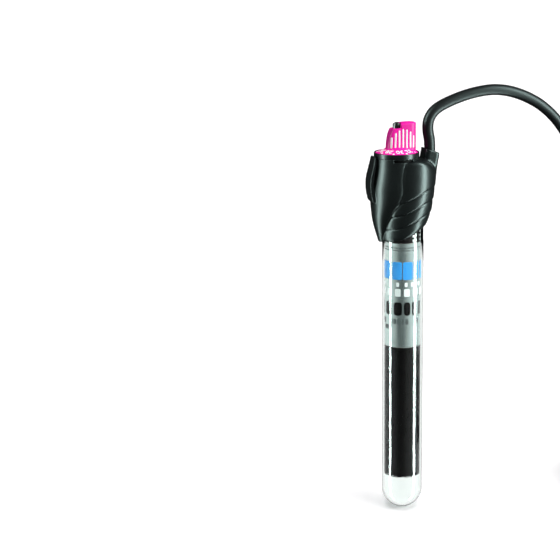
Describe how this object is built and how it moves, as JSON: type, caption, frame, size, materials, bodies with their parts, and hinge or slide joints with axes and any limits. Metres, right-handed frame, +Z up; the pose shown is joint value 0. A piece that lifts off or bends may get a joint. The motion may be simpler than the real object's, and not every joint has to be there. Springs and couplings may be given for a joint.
{
  "type": "submersible aquarium heater",
  "caption": "Submersible aquarium heater: glass tube with heating element, black head with a turning temperature dial, mains cord put up in a tied hank with a two-pin plug.",
  "frame": {"origin": "on the tube's axis, in the middle of the band where a holder's clip grips the glass, 60 mm above the lowest point of the dome", "axes": "+Z up along the glass tube's axis towards the dial, +X towards the cord boss"},
  "size_m": [0.2797, 0.0598, 0.253],
  "materials": {
    "clear_glass": "polished",
    "head_black": "semi-gloss",
    "dial_magenta": "semi-gloss",
    "marking_white": "matte",
    "label_film": "satin",
    "sleeve_black": "matte",
    "stopper_rubber": "matte",
    "seal_rubber": "matte",
    "cord_rubber": "satin",
    "core_insulation": "matte",
    "former_ceramic": "matte",
    "heater_wire": "satin",
    "moulding_pale": "matte",
    "contact_metal": "satin",
    "strip_metal": "satin",
    "lamp_orange": "polished",
    "pin_metal": "polished",
    "tie_black": "matte"
  },
  "bodies": {
    "root": {"glass_tube": "clear_glass", "element_sleeve": "sleeve_black", "label_sleeve": "label_film", "lower_spacer": "former_ceramic", "upper_spacer": "former_ceramic", "element_core": "former_ceramic", "heating_winding": "heater_wire", "lead_wires": "core_insulation", "tube_stopper": "stopper_rubber", "tube_seal_rings": "seal_rubber", "spindle_seal_ring": "seal_rubber", "level_marks": "marking_white", "thermostat_frame": "moulding_pale", "arm_pin": "strip_metal", "fixed_contact": "contact_metal", "bimetal_strip": "strip_metal", "pilot_lamp": "lamp_orange", "lamp_resistor": "former_ceramic", "thermal_fuse": "moulding_pale", "terminal_tabs": "contact_metal", "cord_cores": "core_insulation", "head_cover": "head_black", "collar_ring": "head_black", "cord_gland": "cord_rubber", "cord_tail": "cord_rubber", "cord_ferrule": "strip_metal", "mains_cord": "cord_rubber", "mains_cord_end": "cord_rubber", "cord_hank": "cord_rubber", "hank_tie": "tie_black", "plug_strain_relief": "cord_rubber", "plug_body": "cord_rubber", "plug_pins": "pin_metal"},
    "dial": {"dial_knob": "dial_magenta", "dial_marks": "marking_white", "grip_stripes": "marking_white", "spindle": "head_black", "spindle_cap": "head_black"},
    "nut": {"adjusting_nut": "contact_metal"},
    "arm": {"contact_arm": "strip_metal", "moving_contact": "contact_metal"}
  },
  "joints": [
    {"name": "dial_turn", "type": "hinge", "parent": "root", "child": "dial", "pos_m": [-0.0041, 0, 0.15], "axis": [0, 0, 1], "range_deg": [-152, 128]},
    {"name": "nut_travel", "type": "slide", "parent": "root", "child": "nut", "axis": [0, 0, 1], "range_m": [-0.00036, 0.00036]},
    {"name": "arm_tilt", "type": "hinge", "parent": "root", "child": "arm", "pos_m": [-0.0004, 0, 0.0714], "axis": [0, 1, 0], "range_deg": [-5.5, 5.5]}
  ],
  "couplings": [
    {"joint": "nut_travel", "follows": "dial_turn", "m_per_rad": -0.000127},
    {"joint": "arm_tilt", "follows": "dial_turn", "ratio": 0.031}
  ]
}
